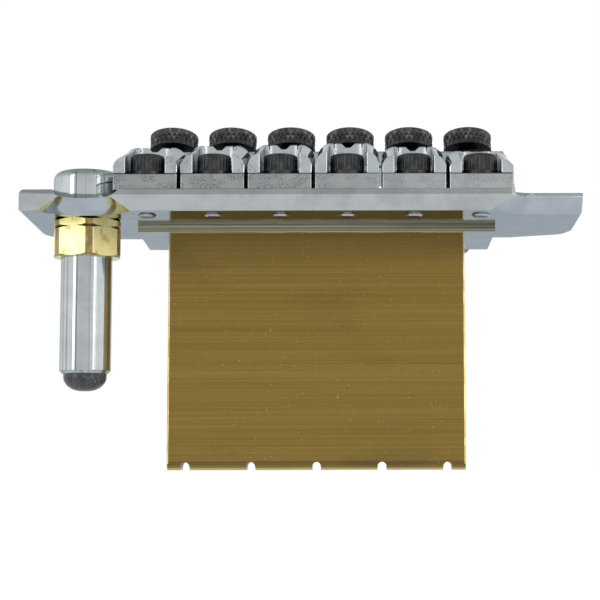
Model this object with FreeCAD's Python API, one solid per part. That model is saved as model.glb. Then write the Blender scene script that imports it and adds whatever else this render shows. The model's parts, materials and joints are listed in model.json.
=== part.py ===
import FreeCAD, Part
import math
import os

V = FreeCAD.Vector
os.makedirs("parts", exist_ok=True)

# Strings
string_count = 6
string_pitch = 10.8

# Fits and working room
overrun = 30.0
turn_clear = 0.05
side_clear = 0.15
seat_clear = 0.02
room = 0.35

# Base plate: origin on the knife-edge line, knife height counted from the underside
plate_thick = 3.66
knife_height = 2.4
front_lip = 1.9
front_chamfer_high = 1.03
front_chamfer_deep = 0.4
arm_reach = 10.55
arm_flare = 1.6
arm_side_long = 26.4
arm_corner_in = 1.0
arm_corner_long = 3.9
arm_rear_wide = 7.8
arm_rear_long = 2.35
arm_root_long = 0.35
bass_reach = 11.95
bass_flare = 0.95
bass_side_long = 23.4
bass_corner_in = 1.2
bass_corner_long = 4.4
bass_rear_wide = 8.35
bass_rear_long = 3.6
wing_round = 3.0
wing_edge = 0.4
wing_top_round = 1.0

# Knife edges on the two studs
arm_notch_x = 36.5
bass_notch_x = 35.8
knife_round = 5.2
knife_undercut = 3.0
knife_relief = 0.35
arm_relief = 0.13
arm_relief_deep = 3.6
bass_relief_gap = 0.05
bass_relief_high = 0.61
bass_relief_deep = 4.2

# Pad under the plate, and the thin tail of the plate above it
pad_front_y = 15.07
pad_rear_y = 37.8
pad_front_half = 30.3
pad_arm_rear_x = 31.5
pad_bass_rear_x = 30.7
pad_drop = 1.05
tail_plate_thick = 1.6

# Sustain block
block_half = 25.05
block_deep = 13.0
block_tall = 40.1
block_edge = 0.15
block_bevel = 1.0
hook_count = 5
hook_pitch = 11.0
hook_slot_wide = 1.5
hook_slot_tall = 1.35
hook_lip_deep = 4.2
hook_step_tall = 1.5
hook_hole_round = 1.1
hook_hole_deep = 8.0

# Block screws, countersunk from above
block_screw_count = 3
block_screw_inset = 3.45
block_screw_round = 2.0
block_screw_head_round = 3.7
block_screw_long = 14.0
block_screw_drive = 2.5
block_screw_drive_deep = 1.8

# Saddle screws
screw_y = 2.8
screw_round = 1.5
screw_head_round = 2.75
screw_head_tall = 3.5
screw_head_edge = 0.45
screw_drive = 2.5
screw_drive_deep = 1.6
screw_proud = 0.34
screw_tip_edge = 0.3

# Saddle foot
saddle_gap = 0.5
saddle_front = 0.4
foot_thick = 2.56
foot_edge = 0.25
foot_travel_front = 1.2
foot_travel_rear = 0.8
split_gap = 0.08
heel_gap = 0.22

# Saddle hinge
hinge_y = 9.1
hinge_rise = 2.05
knuckle_round = 1.8
knuckle_wide = 4.2
pin_round = 1.0
pin_long = 9.6

# Saddle body
pocket_room = 0.4
pocket_round = 1.8
cheek_drop = 3.85
shoulder_front_wide = 1.9
shoulder_crest_wide = 2.5
shoulder_rest = 0.55
shoulder_over = 0.08
shoulder_steps = 8
crest_heights = [9.17, 9.49, 9.64, 9.9, 9.29, 8.54]
crest_edge_deep = 0.45
crest_edge_high = 0.25
crest_flat = 1.2
wall_thick = 2.45
groove_wide = 2.5
groove_floor = 0.8
groove_deep = 0.8
slit_half_span = 2.4
slit_wide = 0.3
slit_deep = 0.9
shoulder_rise = 2.2
block_floor = 2.9

# Lock axis of each saddle, sloping down to the tail
lock_angle = 4.9
lock_y = 16.1
lock_rise = 5.5
tail_wide = 8.4
tail_top = 2.6
tail_bottom = 2.7
tail_end_y = 37.1
tail_flat_long = 6.0

# Clamp block and lock screw
clamp_channel_wide = 6.1
clamp_channel_long = 5.4
clamp_long = 3.4
clamp_half_tall = 2.15
clamp_edge = 0.3
string_gap = 0.9
lock_round = 2.0
lock_tip_edge = 0.4
lock_head_round = 2.8
lock_head_long = 6.0
lock_head_edge = 0.35
lock_head_end_y = 69.0
lock_drive = 3.0
lock_drive_deep = 3.0

# Fine tuners, leaning back over the saddle tails
tuner_lean = 14.0
tuner_top_y = 36.9
tuner_top_rise = 16.09
knob_round = 4.4
knob_tall = 3.15
knob_edge = 0.1
knob_dish_round = 2.9
knob_dish_deep = 0.4
knob_socket_deep = 1.9
tuner_round = 2.0
tuner_gap = 0.2

# Tuner bridge over the tails
bridge_gap = 1.55
bridge_thick = 3.3
bridge_half_deep = 4.4
bridge_edge = 0.6
bridge_room = 0.45
bridge_post_wide = 2.0
bridge_corner_wide = 1.6
bridge_corner_tall = 3.6
bridge_foot_front_y = 18.6
bridge_foot_rear_y = 26.6

# Leaf spring under the tails
leaf_thick = 0.35
leaf_front_y = 22.1
leaf_rear_y = 25.1
finger_wide = 4.0
finger_tip_y = 16.6
finger_rise = 1.6
leaf_screw_round = 1.0
leaf_head_round = 1.6
leaf_head_tall = 0.3
leaf_screw_long = 3.6

# Arm socket
arm_y = 9.4
tube_round = 4.2
tube_wall = 1.1
tube_below = 25.3
tube_edge = 0.5
cap_round = 5.6
cap_side_gap = 0.1
cap_tall = 4.5
cap_edge = 1.5
cap_cover = 1.1
nut_flats = 10.65
nut_corner_flat = 0.375
lock_nut_tall = 1.36
hex_nut_tall = 4.82
nut_edge = 0.5
nut_turn = 43.4
bush_wall = 0.35
bush_long = 22.0
plug_step = 0.65
plug_rim = 0.45
plug_dome = 2.4
plug_flat_round = 0.5
plug_tail_long = 2.4

# Places that follow from the sizes above
under_z = -knife_height
top_z = under_z + plate_thick
pad_z = under_z - pad_drop
foot_top_z = top_z + foot_thick
hinge_z = foot_top_z + hinge_rise
cheek_z = foot_top_z + split_gap
heel_z = cheek_z + heel_gap
lock_z = top_z + lock_rise
half_saddle = (string_pitch - saddle_gap) / 2
half_pocket = screw_head_round + pocket_room
wall_front_y = hinge_y + knuckle_round + room
channel_front_y = wall_front_y + wall_thick
lock_tan = math.tan(math.radians(lock_angle))
lock_cos = math.cos(math.radians(lock_angle))
tail_flat_z = lock_z - (tail_end_y - lock_y) * lock_tan + tail_top
tuner_sin = math.sin(math.radians(tuner_lean))
tuner_cos = math.cos(math.radians(tuner_lean))
tuner_axis = V(0, tuner_sin, tuner_cos)
tuner_top_z = top_z + tuner_top_rise
string_x = [(n - (string_count - 1) / 2) * string_pitch for n in range(string_count)]
saddles_end_x = string_x[-1] + half_saddle
bridge_end_x = saddles_end_x + bridge_room + bridge_post_wide
leaf_half = string_x[-1] + finger_wide / 2
arm_x = saddles_end_x + cap_side_gap + cap_round
arm_wide_x = arm_x + arm_reach
arm_wide_y = arm_side_long - front_lip
arm_corner_x = arm_wide_x - arm_corner_in
arm_corner_y = arm_wide_y + arm_corner_long
arm_rear_x = arm_corner_x - arm_rear_wide
arm_rear_y = arm_corner_y + arm_rear_long
arm_root_y = arm_rear_y + arm_root_long
bass_wide_x = saddles_end_x + bass_reach
bass_front_x = bass_wide_x - bass_flare
bass_wide_y = bass_side_long - front_lip
bass_corner_x = bass_wide_x - bass_corner_in
bass_corner_y = bass_wide_y + bass_corner_long
bass_root_x = bass_corner_x - bass_rear_wide
bass_root_y = bass_corner_y + bass_rear_long
tube_bore = tube_round - tube_wall
bush_bore = tube_bore - bush_wall
plug_round = tube_round - plug_step


def box(x0, x1, y0, y1, z0, z1):
    return Part.makeBox(x1 - x0, y1 - y0, z1 - z0, V(x0, y0, z0))


def rod(radius, start, axis, length):
    return Part.makeCylinder(radius, length, start, axis)


def prism_x(points, x0, x1):
    wire = Part.makePolygon([V(x0, y, z) for y, z in points + points[:1]])
    return Part.Face(wire).extrude(V(x1 - x0, 0, 0))


def prism_z(points, z0, z1):
    wire = Part.makePolygon([V(x, y, z0) for x, y in points + points[:1]])
    return Part.Face(wire).extrude(V(0, 0, z1 - z0))


def turned(profile, centre, axis=V(0, 0, 1)):
    wire = Part.makePolygon([V(r, 0, z) for r, z in profile + profile[:1]])
    solid = Part.Face(wire).revolve(V(0, 0, 0), V(0, 0, 1), 360)
    solid.Placement = FreeCAD.Placement(centre, FreeCAD.Rotation(V(0, 0, 1), axis))
    return solid


def hexagon(flats, z0, z1, turn=0):
    corner = flats / 2 / math.cos(math.pi / 6)
    angles = [math.radians(turn + 60 * k) for k in range(6)]
    return prism_z([(corner * math.cos(a), corner * math.sin(a)) for a in angles], z0, z1)


def moved(shape, x, y, z):
    copy = shape.copy()
    copy.translate(V(x, y, z))
    return copy


def edges_where(shape, test):
    return [e for e in shape.Edges if test(e)]


def level(edge, axis, value, slack=1e-4):
    return all(abs(getattr(v.Point, axis) - value) < slack for v in edge.Vertexes)


def along(edge, axis):
    if len(edge.Vertexes) != 2:
        return False
    a, b = [v.Point for v in edge.Vertexes]
    return abs(getattr(b - a, axis)) > (1 - 1e-6) * (b - a).Length


def save(name, shape):
    solids = shape.Solids
    out = solids[0] if len(solids) == 1 else Part.makeCompound(solids)
    out.exportStep("parts/" + name + ".step")
    print(name, len(solids), "solid(s)", round(sum(s.Volume for s in solids), 2), shape.isValid())


def knife_profile():
    # from the wide underside of a seat up to its knife edge, as distance behind the edge and height
    down = knife_height + pad_drop
    return [(knife_undercut / knife_height * down, -down), (0, 0)]


def arm_knife_tool():
    # conical seat for the arm-side stud, opened backwards above the knife edge
    (low_y, low_z), edge = knife_profile()
    seat = turned([(0, low_z), (knife_round + low_y, low_z), (knife_round, 0), (0, 0)],
                  V(-arm_notch_x, -knife_round, 0))
    share = plate_thick / top_z
    rise_round = knife_round + arm_relief * share
    rise_y = (arm_relief_deep - arm_relief) * share - knife_round
    rings = [Part.Wire(Part.makeCircle(r, V(-arm_notch_x, y, z)))
             for r, y, z in ((knife_round, -knife_round, 0), (rise_round, rise_y, plate_thick))]
    return seat, Part.makeLoft(rings, True, True)


def bass_knife_tool():
    # straight knife edge with a rounded inner end
    top = (knife_relief / top_z * plate_thick, plate_thick)
    rim = knife_profile() + [top]
    seat = turned([(0, rim[0][1])] + [(knife_round + y, z) for y, z in rim] + [(0, plate_thick)],
                  V(bass_notch_x, -knife_round, 0))
    front = [(-overrun, rim[0][1])] + rim + [(-overrun, plate_thick)]
    return seat.fuse(prism_x(front, bass_notch_x, bass_notch_x + overrun))


def plate_outline():
    front = -front_lip
    return [(arm_flare - arm_wide_x, front), (bass_front_x, front), (bass_wide_x, bass_wide_y),
            (bass_corner_x, bass_corner_y), (bass_root_x, bass_root_y), (pad_front_half, bass_root_y),
            (-pad_front_half, arm_root_y), (-arm_rear_x, arm_rear_y), (-arm_corner_x, arm_corner_y),
            (-arm_wide_x, arm_wide_y)]


def block_screw_x():
    # spread over the block, the outer ones a little in from its ends
    reach = block_half - block_screw_inset
    return [reach * (2 * k / (block_screw_count - 1) - 1) for k in range(block_screw_count)]


def block_screw_y():
    return pad_front_y + block_deep / 2


def base_plate():
    plate = prism_z(plate_outline(), under_z, top_z)
    corners = [(-arm_wide_x, arm_wide_y), (-arm_corner_x, arm_corner_y),
               (bass_wide_x, bass_wide_y), (bass_corner_x, bass_corner_y)]
    round_edges = [e for e in plate.Edges if along(e, "z")
                   and any(level(e, "x", x) and level(e, "y", y) for x, y in corners)]
    plate = plate.makeFillet(wing_round, round_edges)
    outer = edges_where(plate, lambda e: level(e, "z", under_z) and e.BoundBox.YMax > -front_lip
                        and (e.BoundBox.XMax < -pad_front_half or e.BoundBox.XMin > pad_front_half))
    plate = plate.makeFillet(wing_edge, outer)
    half_space = box(-overrun - arm_wide_x, -arm_notch_x, -overrun, overrun + overrun, -overrun, overrun)
    wing = plate.common(half_space)
    soft = edges_where(wing, lambda e: level(e, "z", top_z) and (level(e, "y", -front_lip)
                       or e.BoundBox.XMax < arm_flare - arm_wide_x + seat_clear))
    plate = plate.cut(half_space).fuse(wing.makeFillet(wing_top_round, soft)).removeSplitter()
    front = -front_lip
    chamfer = [(front, top_z - front_chamfer_high), (front, top_z), (front + front_chamfer_deep, top_z)]
    plate = plate.cut(prism_x(chamfer, -arm_notch_x, bass_front_x))
    relief = [(-overrun, top_z - bass_relief_high), (0, top_z - bass_relief_high),
              (bass_relief_deep, top_z), (bass_relief_deep, top_z + overrun), (-overrun, top_z + overrun)]
    plate = plate.cut(prism_x(relief, saddles_end_x + bass_relief_gap, bass_wide_x + overrun))
    for tool in arm_knife_tool():
        plate = plate.cut(tool)
    plate = plate.cut(bass_knife_tool())
    pad = prism_z([(-pad_front_half, pad_front_y), (pad_front_half, pad_front_y),
                   (pad_bass_rear_x, pad_rear_y), (-pad_arm_rear_x, pad_rear_y)],
                  pad_z, under_z + tail_plate_thick)
    plate = plate.fuse(pad)
    for x in string_x:
        plate = plate.cut(rod(screw_round + seat_clear, V(x, screw_y, under_z - overrun), V(0, 0, 1),
                              overrun + overrun))
    for x in block_screw_x():
        head = block_screw_head_round - block_screw_round
        tool = turned([(0, -overrun), (block_screw_round + seat_clear, -overrun),
                       (block_screw_round + seat_clear, -head), (block_screw_head_round + seat_clear, 0),
                       (block_screw_head_round + seat_clear, overrun), (0, overrun)],
                      V(x, block_screw_y(), top_z))
        plate = plate.cut(tool)
    for x in (-string_pitch, string_pitch):
        hole = rod(leaf_screw_round + seat_clear, V(x, (leaf_front_y + leaf_rear_y) / 2, top_z),
                   V(0, 0, -1), leaf_screw_long)
        plate = plate.cut(hole)
    plate = plate.cut(rod(tube_round + seat_clear, V(-arm_x, arm_y, under_z - overrun), V(0, 0, 1),
                          overrun + overrun))
    return plate.removeSplitter()


def sustain_block():
    bottom = pad_z - block_tall
    rear = pad_front_y + block_deep
    block = box(-block_half, block_half, pad_front_y, rear, bottom, pad_z)
    block = block.makeChamfer(block_edge, edges_where(block, lambda e: along(e, "z")))
    low = edges_where(block, lambda e: level(e, "z", bottom) and along(e, "x") and level(e, "y", pad_front_y))
    block = block.makeChamfer(block_bevel, low)
    step = bottom + hook_step_tall
    lip_rear = pad_front_y + hook_lip_deep
    block = block.cut(box(-overrun, overrun, lip_rear, rear + overrun, bottom - overrun, step))
    for k in range(hook_count):
        x = (k - (hook_count - 1) / 2) * hook_pitch
        half = hook_slot_wide / 2
        crown = bottom + hook_slot_tall - half
        slot = box(x - half, x + half, pad_front_y - overrun, rear + overrun, bottom - overrun, crown)
        slot = slot.fuse(rod(half, V(x, pad_front_y - overrun, crown), V(0, 1, 0), overrun + overrun))
        middle = V(x, (pad_front_y + rear) / 2, step)
        block = block.cut(slot).cut(rod(hook_hole_round, middle, V(0, 0, 1), hook_hole_deep))
    for x in block_screw_x():
        block = block.cut(rod(block_screw_round + seat_clear, V(x, block_screw_y(), pad_z), V(0, 0, -1),
                              block_screw_long))
    return block.removeSplitter()


def block_screws():
    head = block_screw_head_round - block_screw_round
    screw = turned([(0, -block_screw_long), (block_screw_round, -block_screw_long),
                    (block_screw_round, -head), (block_screw_head_round, 0), (0, 0)], V(0, 0, 0))
    screw = screw.cut(hexagon(block_screw_drive, -block_screw_drive_deep, overrun))
    return Part.makeCompound([moved(screw, x, block_screw_y(), top_z) for x in block_screw_x()])


def saddle_screws():
    shank = foot_thick + plate_thick + screw_proud
    edge = screw_head_edge
    tip = screw_tip_edge
    screw = turned([(0, -shank), (screw_round - tip, -shank), (screw_round, tip - shank), (screw_round, 0),
                    (screw_head_round, 0),
                    (screw_head_round, screw_head_tall - edge), (screw_head_round - edge, screw_head_tall),
                    (0, screw_head_tall)], V(0, 0, 0))
    screw = screw.cut(hexagon(screw_drive, screw_head_tall - screw_drive_deep, overrun))
    return Part.makeCompound([moved(screw, x, screw_y, foot_top_z) for x in string_x])


def saddle_foot(x):
    rear = wall_front_y + room
    foot = box(-half_saddle, half_saddle, -saddle_front, rear, top_z, foot_top_z)
    foot = foot.makeFillet(foot_edge, edges_where(foot, lambda e: along(e, "z")))
    half_knuckle = knuckle_wide / 2
    knuckle = rod(knuckle_round, V(-half_knuckle, hinge_y, hinge_z), V(1, 0, 0), knuckle_wide)
    stem = box(-half_knuckle, half_knuckle, hinge_y - knuckle_round, hinge_y + knuckle_round, top_z, hinge_z)
    foot = foot.fuse(stem).fuse(knuckle)
    half = screw_round + room
    y0 = screw_y - foot_travel_rear
    y1 = screw_y + foot_travel_front
    slot = box(-half, half, y0, y1, top_z - overrun, foot_top_z + overrun)
    for y in (y0, y1):
        slot = slot.fuse(rod(half, V(0, y, top_z - overrun), V(0, 0, 1), overrun + overrun))
    foot = foot.cut(slot)
    foot = foot.cut(rod(pin_round, V(-overrun, hinge_y, hinge_z), V(1, 0, 0), overrun + overrun))
    return moved(foot.removeSplitter(), x, 0, 0)


def saddle_pin(x):
    return rod(pin_round, V(x - pin_long / 2, hinge_y, hinge_z), V(1, 0, 0), pin_long)


def on_lock_axis(shape, x):
    # built level along +Y about the lock point, then sloped and put in place
    copy = shape.copy()
    copy.rotate(V(0, 0, 0), V(1, 0, 0), -lock_angle)
    copy.translate(V(x, lock_y, lock_z))
    return copy


def shoulder_wire(side, y, top, wide, tall):
    # outline of what is taken off outside a rounded shoulder, at one place along the saddle
    turn = math.pi / 2 / shoulder_steps
    inner = half_saddle - wide
    across = wide + shoulder_over
    high = tall + shoulder_over
    arc = [V(side * (inner + across * math.sin(turn * k)), y, top - tall + high * math.cos(turn * k))
           for k in range(shoulder_steps + 1)]
    curve = Part.BSplineCurve()
    curve.interpolate(arc)
    out = side * (half_saddle + overrun)
    rest = Part.makePolygon([arc[-1], V(out, y, top - tall), V(out, y, top + overrun),
                             V(side * inner, y, top + overrun), arc[0]])
    return Part.Wire([curve.toShape()] + rest.Edges)


def shoulder_tools(side, crest):
    # rounded shoulder, up the sloping cheek, over the crest's edge and along the crest
    front_top = crest - cheek_drop
    wall_top = crest - crest_edge_high
    tall = front_top - cheek_z - shoulder_rest
    ahead = seat_clear / (wall_front_y + saddle_front)
    rear = channel_front_y + clamp_channel_long + room + seat_clear
    wires = [shoulder_wire(side, -saddle_front - seat_clear, front_top - ahead * (wall_top - front_top),
                           shoulder_front_wide - ahead * (shoulder_crest_wide - shoulder_front_wide), tall),
             shoulder_wire(side, wall_front_y, wall_top, shoulder_crest_wide, tall),
             shoulder_wire(side, wall_front_y + crest_edge_deep, crest, shoulder_crest_wide, tall),
             shoulder_wire(side, rear, crest, shoulder_crest_wide, tall)]
    return [Part.makeLoft(list(pair), True, True) for pair in zip(wires, wires[1:])]


def string_groove(crest):
    # shallow flat-bottomed notch for the string, over the crest
    lean = (groove_wide - groove_floor) / 2 / groove_deep
    high = groove_floor / 2 + lean * (groove_deep + room)
    section = [V(-high, 0, crest + room), V(-groove_floor / 2, 0, crest - groove_deep),
               V(groove_floor / 2, 0, crest - groove_deep), V(high, 0, crest + room)]
    return Part.Face(Part.makePolygon(section + section[:1])).extrude(V(0, overrun, 0))


def saddle_body(n, x):
    crest = top_z + crest_heights[n]
    shoulder = lock_z + shoulder_rise
    rear = channel_front_y + clamp_channel_long + room
    floor = lock_z - block_floor
    start = wall_front_y + room + room
    profile = [(-saddle_front, cheek_z), (-saddle_front, crest - cheek_drop),
               (wall_front_y, crest - crest_edge_high), (wall_front_y + crest_edge_deep, crest),
               (wall_front_y + crest_edge_deep + crest_flat, crest), (channel_front_y, shoulder),
               (rear, shoulder), (rear, floor), (start, floor), (start, heel_z), (hinge_y, heel_z),
               (hinge_y, cheek_z)]
    body = prism_x(profile, -half_saddle, half_saddle)

    for side in (-1, 1):
        for tool in shoulder_tools(side, crest):
            body = body.cut(tool)
    half_tail = tail_wide / 2
    tail = box(-half_tail, half_tail, channel_front_y - lock_y, (tail_end_y - lock_y) / lock_cos,
               -tail_bottom, tail_top)
    body = body.fuse(on_lock_axis(tail, 0))
    pocket = box(-half_pocket, half_pocket, -overrun, wall_front_y, -overrun, overrun)
    inner = edges_where(pocket, lambda e: along(e, "z") and level(e, "y", wall_front_y))
    body = body.cut(pocket.makeFillet(pocket_round, inner))
    half = clamp_channel_wide / 2
    low = clamp_half_tall + side_clear
    v0 = (channel_front_y - lock_y) / lock_cos
    channel = box(-half, half, v0, v0 + clamp_channel_long, -low, overrun)
    bore = rod(lock_round + turn_clear, V(0, v0 + clamp_channel_long / 2, 0), V(0, 1, 0), overrun + overrun)
    body = body.cut(on_lock_axis(channel, 0)).cut(on_lock_axis(bore, 0))
    body = body.cut(box(-half_saddle, half_saddle, tail_end_y - tail_flat_long, tail_end_y + overrun,
                        tail_flat_z, tail_flat_z + overrun))
    body = body.cut(string_groove(crest))
    for side in (-slit_half_span, slit_half_span):
        body = body.cut(box(side - slit_wide / 2, side + slit_wide / 2, wall_front_y - room,
                            channel_front_y, crest - slit_deep, crest + overrun))
    body = body.cut(rod(pin_round + turn_clear, V(-overrun, hinge_y, hinge_z), V(1, 0, 0),
                        overrun + overrun))
    return moved(body.removeSplitter(), x, 0, 0)


def clamp_block(x):
    half = clamp_channel_wide / 2 - side_clear
    v0 = (channel_front_y - lock_y) / lock_cos + string_gap
    block = box(-half, half, v0, v0 + clamp_long, -clamp_half_tall, clamp_half_tall)
    block = block.makeChamfer(clamp_edge, edges_where(block, lambda e: along(e, "z")))
    return on_lock_axis(block, x)


def lock_screw(x):
    v0 = (channel_front_y - lock_y) / lock_cos + string_gap + clamp_long
    v1 = (lock_head_end_y - lock_y) / lock_cos
    neck = v1 - lock_head_long
    screw = turned([(0, v0), (lock_round - lock_tip_edge, v0), (lock_round, v0 + lock_tip_edge),
                    (lock_round, neck), (lock_head_round - lock_head_edge, neck),
                    (lock_head_round, neck + lock_head_edge), (lock_head_round, v1 - lock_head_edge),
                    (lock_head_round - lock_head_edge, v1), (0, v1)], V(0, 0, 0))
    screw = screw.cut(hexagon(lock_drive, v1 - lock_drive_deep, v1 + overrun))
    screw.rotate(V(0, 0, 0), V(1, 0, 0), -90)
    return on_lock_axis(screw, x)


def tuner_point(down):
    # point on the tuner axis, counted down from the middle of the knob's top rim
    return V(0, tuner_top_y, tuner_top_z) - tuner_axis * down


def tuner_length():
    # from the top of the knob to the lowest place of the rounded tip
    tip_centre = tail_flat_z + tuner_gap + tuner_round
    return (tuner_top_z - tip_centre) / tuner_cos


def tuner_screw(x):
    centre = tuner_point(tuner_length())
    top = tuner_length() - knob_tall + knob_socket_deep
    screw = rod(tuner_round, centre, tuner_axis, top)
    screw = screw.fuse(Part.makeSphere(tuner_round, centre)).removeSplitter()
    return moved(screw, x, 0, 0)


def tuner_knob(x):
    e = knob_edge
    socket = tuner_round + turn_clear
    profile = [(0, knob_socket_deep), (socket, knob_socket_deep), (socket, 0), (knob_round - e, 0),
               (knob_round, e), (knob_round, knob_tall - e), (knob_round - e, knob_tall),
               (knob_dish_round, knob_tall), (knob_dish_round - knob_dish_deep, knob_tall - knob_dish_deep),
               (0, knob_tall - knob_dish_deep)]
    base = tuner_point(knob_tall)
    return turned(profile, V(x, base.y, base.z), tuner_axis)


def tuner_bridge():
    # bar square to the tuners, on two posts that stand on the plate beside the saddles
    top = tuner_point(knob_tall + bridge_gap)
    low = tuner_point(knob_tall + bridge_gap + bridge_thick)
    across = V(0, tuner_cos, -tuner_sin)
    a, b = top - across * bridge_half_deep, top + across * bridge_half_deep
    c, d = low + across * bridge_half_deep, low - across * bridge_half_deep
    bar = prism_x([(p.y, p.z) for p in (a, b, c, d)], -bridge_end_x, bridge_end_x)
    long_edges = edges_where(bar, lambda e: along(e, "x") and min(v.Z for v in e.Vertexes) > low.z)
    bar = bar.makeFillet(bridge_edge, long_edges)
    post = [(bridge_foot_front_y, top_z), (bridge_foot_rear_y, top_z), (c.y, c.z), (d.y, d.z)]
    inner = bridge_end_x - bridge_post_wide
    bridge = bar.fuse(prism_x(post, inner, bridge_end_x)).fuse(prism_x(post, -bridge_end_x, -inner))
    for side in (-1, 1):
        tip = side * bridge_end_x
        corner = Part.makePolygon([V(tip, 0, a.z), V(tip - side * bridge_corner_wide, 0, a.z),
                                   V(tip, 0, a.z - bridge_corner_tall), V(tip, 0, a.z)])
        bridge = bridge.cut(Part.Face(corner).extrude(V(0, overrun + overrun, 0)))
    for x in string_x:
        start = V(x, low.y, low.z) - tuner_axis * overrun
        bridge = bridge.cut(rod(tuner_round + turn_clear, start, tuner_axis, overrun + overrun))
    return bridge.removeSplitter()


def leaf_spring():
    strip = box(-leaf_half, leaf_half, leaf_front_y, leaf_rear_y, top_z, top_z + leaf_thick)
    bend = leaf_front_y + leaf_thick
    z0, z1 = top_z, top_z + finger_rise
    finger = [(bend, z0), (bend, z0 + leaf_thick), (finger_tip_y, z1 + leaf_thick), (finger_tip_y, z1)]
    for x in string_x:
        strip = strip.fuse(prism_x(finger, x - finger_wide / 2, x + finger_wide / 2))
    for x in (-string_pitch, string_pitch):
        strip = strip.cut(rod(leaf_screw_round + seat_clear, V(x, (leaf_front_y + leaf_rear_y) / 2, top_z),
                              V(0, 0, 1), overrun))
    return strip.removeSplitter()


def leaf_screws():
    screw = turned([(0, -leaf_screw_long), (leaf_screw_round, -leaf_screw_long),
                    (leaf_screw_round, leaf_thick),
                    (leaf_head_round, leaf_thick), (leaf_head_round, leaf_thick + leaf_head_tall),
                    (0, leaf_thick + leaf_head_tall)], V(0, 0, 0))
    middle = (leaf_front_y + leaf_rear_y) / 2
    return Part.makeCompound([moved(screw, x, middle, top_z) for x in (-string_pitch, string_pitch)])


def at_arm(shape, z):
    return moved(shape, -arm_x, arm_y, z)


def arm_tube():
    low = -tube_below
    high = plate_thick + cap_tall - cap_cover
    e = tube_edge
    profile = [(tube_bore, low), (tube_round - e, low), (tube_round, low + e), (tube_round, high),
               (tube_bore, high)]
    return at_arm(turned(profile, V(0, 0, 0)), under_z)


def arm_cap():
    cap = turned([(bush_bore, 0), (cap_round, 0), (cap_round, cap_tall), (bush_bore, cap_tall)], V(0, 0, 0))
    rim = edges_where(cap, lambda e: level(e, "z", cap_tall) and e.BoundBox.XMax > cap_round - cap_edge)
    cap = cap.makeFillet(cap_edge, rim)
    cap = cap.cut(rod(tube_round + seat_clear, V(0, 0, -overrun), V(0, 0, 1), overrun + cap_tall - cap_cover))
    return at_arm(cap, top_z)


def hex_nut(tall):
    # hex bar with flat corners, turned off at both ends, threaded on the tube
    corner = nut_flats / 2 / math.cos(math.pi / 6)
    barrel = turned([(0, 0), (nut_flats / 2, 0), (corner, nut_edge), (corner, tall - nut_edge),
                     (nut_flats / 2, tall), (0, tall)], V(0, 0, 0))
    nut = hexagon(nut_flats, 0, tall, nut_turn).common(barrel)
    nut = nut.common(hexagon(2 * (corner - nut_corner_flat), 0, tall, nut_turn + 30))
    return nut.cut(rod(tube_round + seat_clear, V(0, 0, -overrun), V(0, 0, 1), overrun + overrun))


def arm_lock_nut():
    return at_arm(hex_nut(lock_nut_tall), under_z - lock_nut_tall)


def arm_hex_nut():
    return at_arm(hex_nut(hex_nut_tall), under_z - lock_nut_tall - hex_nut_tall)


def arm_bush():
    high = plate_thick + cap_tall - cap_cover
    profile = [(bush_bore, high - bush_long), (tube_bore, high - bush_long), (tube_bore, high),
               (bush_bore, high)]
    return at_arm(turned(profile, V(0, 0, 0)), under_z)


def arm_plug():
    rim = -plug_rim
    dome = [(plug_flat_round + (plug_round - plug_flat_round) * math.cos(math.pi / 2 * k / 6),
             rim - plug_dome * math.sin(math.pi / 2 * k / 6)) for k in range(7)]
    arc = [V(r, 0, z) for r, z in dome]
    curve = Part.BSplineCurve()
    curve.interpolate(arc)
    rest = Part.makePolygon([arc[-1], V(0, 0, arc[-1].z), V(0, 0, plug_tail_long),
                             V(tube_bore, 0, plug_tail_long), V(tube_bore, 0, 0),
                             V(plug_round, 0, 0), arc[0]])
    wire = Part.Wire([curve.toShape()] + rest.Edges)
    plug = Part.Face(wire).revolve(V(0, 0, 0), V(0, 0, 1), 360)
    return at_arm(plug, under_z - tube_below)


def main():
    fixed = {"base_plate": base_plate, "tuner_bridge": tuner_bridge, "sustain_block": sustain_block,
             "block_screws": block_screws, "saddle_screws": saddle_screws, "leaf_spring": leaf_spring,
             "leaf_screws": leaf_screws, "arm_tube": arm_tube, "arm_cap": arm_cap,
             "arm_lock_nut": arm_lock_nut, "arm_hex_nut": arm_hex_nut, "arm_plug": arm_plug,
             "arm_bush": arm_bush}
    for name, make in fixed.items():
        save(name, make())
    for n, x in enumerate(string_x):
        tag = "_" + str(n + 1)
        save("saddle_foot" + tag, saddle_foot(x))
        save("saddle_pin" + tag, saddle_pin(x))
        save("saddle_body" + tag, saddle_body(n, x))
        save("clamp_block" + tag, clamp_block(x))
        save("lock_screw" + tag, lock_screw(x))
        save("tuner_screw" + tag, tuner_screw(x))
        save("tuner_knob" + tag, tuner_knob(x))


main()
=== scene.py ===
# %% [markdown]
# # A locking tremolo bridge in chrome, brass and black steel
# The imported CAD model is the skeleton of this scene. Each of its nodes already sits at its real place
# and size, in metres. We load it first, and everything that follows is measured from it.

# %% Load the frame
import json
import math

import bmesh
import bpy
from mathutils import Matrix, Vector

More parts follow.
